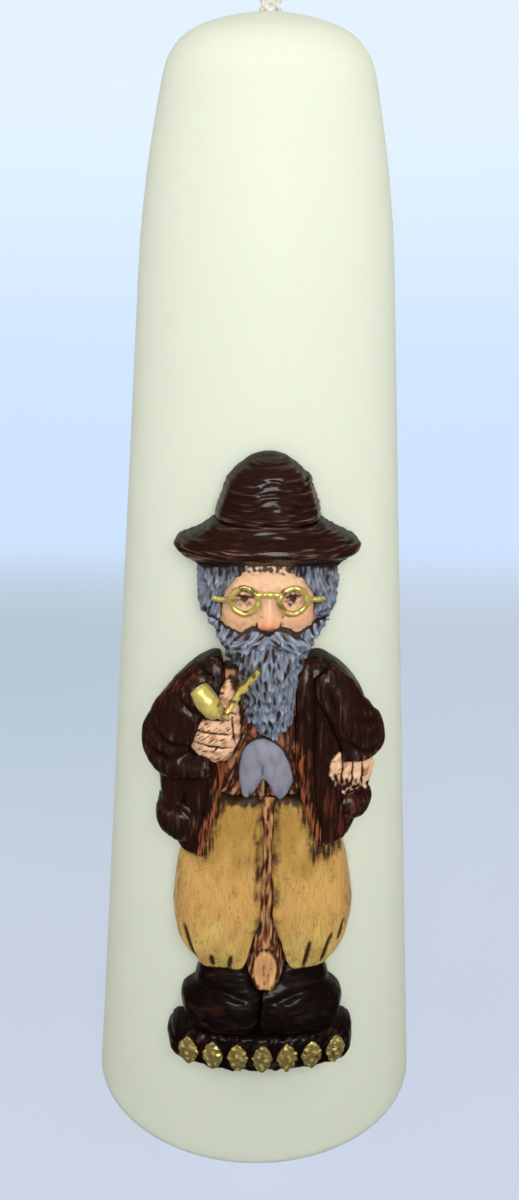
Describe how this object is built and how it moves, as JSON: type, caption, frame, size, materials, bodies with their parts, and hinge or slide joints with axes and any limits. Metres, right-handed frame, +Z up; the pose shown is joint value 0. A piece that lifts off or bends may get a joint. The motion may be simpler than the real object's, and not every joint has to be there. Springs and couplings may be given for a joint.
{
  "type": "pillar candle",
  "caption": "Tapered dipped pillar candle with a domed top, a braided wick and a painted relief of a bearded old gentleman in a brimmed hat holding a pipe.",
  "frame": {"origin": "centre of the foot, on the plane that the candle stands on", "axes": "+Z up along the wick; the relief figure faces -Y"},
  "size_m": [0.08, 0.0878, 0.261],
  "materials": {
    "core_wax": "plain poured wax",
    "ivory_wax": "smooth satin wax",
    "wick_cotton": "waxed cotton braid",
    "tinned_steel": "bright pressed sheet",
    "black_paint": "glossy paint",
    "gilt_paint": "worn gilt paint",
    "brown_lacquer": "glossy lacquer, dry-brushed",
    "gold_paint": "gold paint with a brown wash",
    "russet_paint": "brown wash over flesh paint",
    "lilac_paint": "satin paint",
    "flesh_paint": "satin paint with a brown wash",
    "blue_grey_paint": "satin paint with dark strokes"
  },
  "bodies": {
    "root": {"wax_core": "core_wax", "dip_coat": "ivory_wax", "wick": "wick_cotton", "wick_sustainer": "tinned_steel", "plinth": "black_paint", "plinth_studs": "gilt_paint", "shoe_left": "brown_lacquer", "shoe_right": "brown_lacquer", "trouser_leg_left": "gold_paint", "trouser_leg_right": "gold_paint", "trouser_fly": "russet_paint", "waistcoat": "russet_paint", "kerchief": "lilac_paint", "coat_front_left": "brown_lacquer", "coat_front_right": "brown_lacquer", "coat_pocket_left": "brown_lacquer", "coat_pocket_right": "brown_lacquer", "pipe_sleeve": "brown_lacquer", "pocket_sleeve": "brown_lacquer", "pipe_hand": "flesh_paint", "pocket_hand": "flesh_paint", "pipe_bowl": "gilt_paint", "pipe_stem": "gilt_paint", "head": "flesh_paint", "hair_left": "blue_grey_paint", "hair_right": "blue_grey_paint", "beard": "blue_grey_paint", "moustache": "blue_grey_paint", "spectacles": "gilt_paint", "hat_brim": "brown_lacquer", "hat_crown": "brown_lacquer"}
  },
  "joints": []
}
